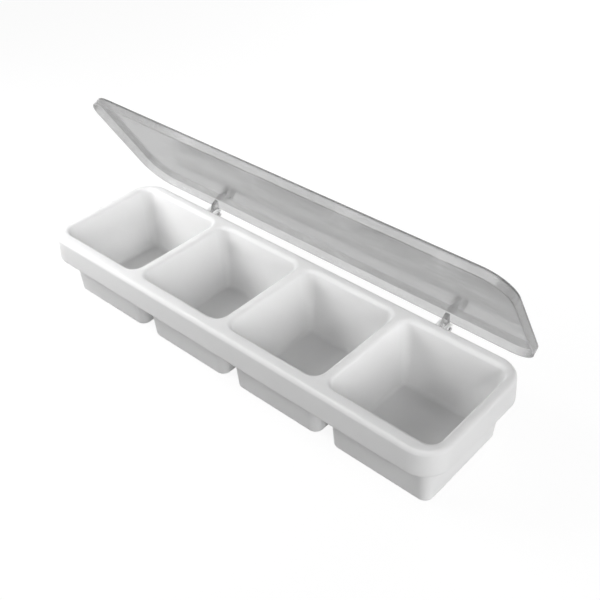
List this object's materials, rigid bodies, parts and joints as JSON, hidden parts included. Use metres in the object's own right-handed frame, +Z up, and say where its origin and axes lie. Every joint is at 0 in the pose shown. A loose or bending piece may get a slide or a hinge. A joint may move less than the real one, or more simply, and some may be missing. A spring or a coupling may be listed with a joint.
{
  "type": "bar caddy",
  "caption": "White moulded bar caddy: a row of deep rounded cups under one rolled rim, with a clear lid hinged along the back.",
  "frame": {"origin": "under the middle of the tray, on the plane that its cups stand on", "axes": "+X along the tray, +Y towards the hinge side, +Z up"},
  "size_m": [0.505, 0.162, 0.2075],
  "materials": {
    "tray_plastic": "satin moulded white",
    "clear_plastic": "clear polished"
  },
  "bodies": {
    "tray": {"tray": "tray_plastic"},
    "lid": {"lid": "clear_plastic"}
  },
  "joints": [
    {"name": "lid_hinge", "type": "hinge", "parent": "tray", "child": "lid", "pos_m": [0, 0.083, 0.0665], "axis": [-1, 0, 0], "range_deg": [-59, 51]}
  ]
}
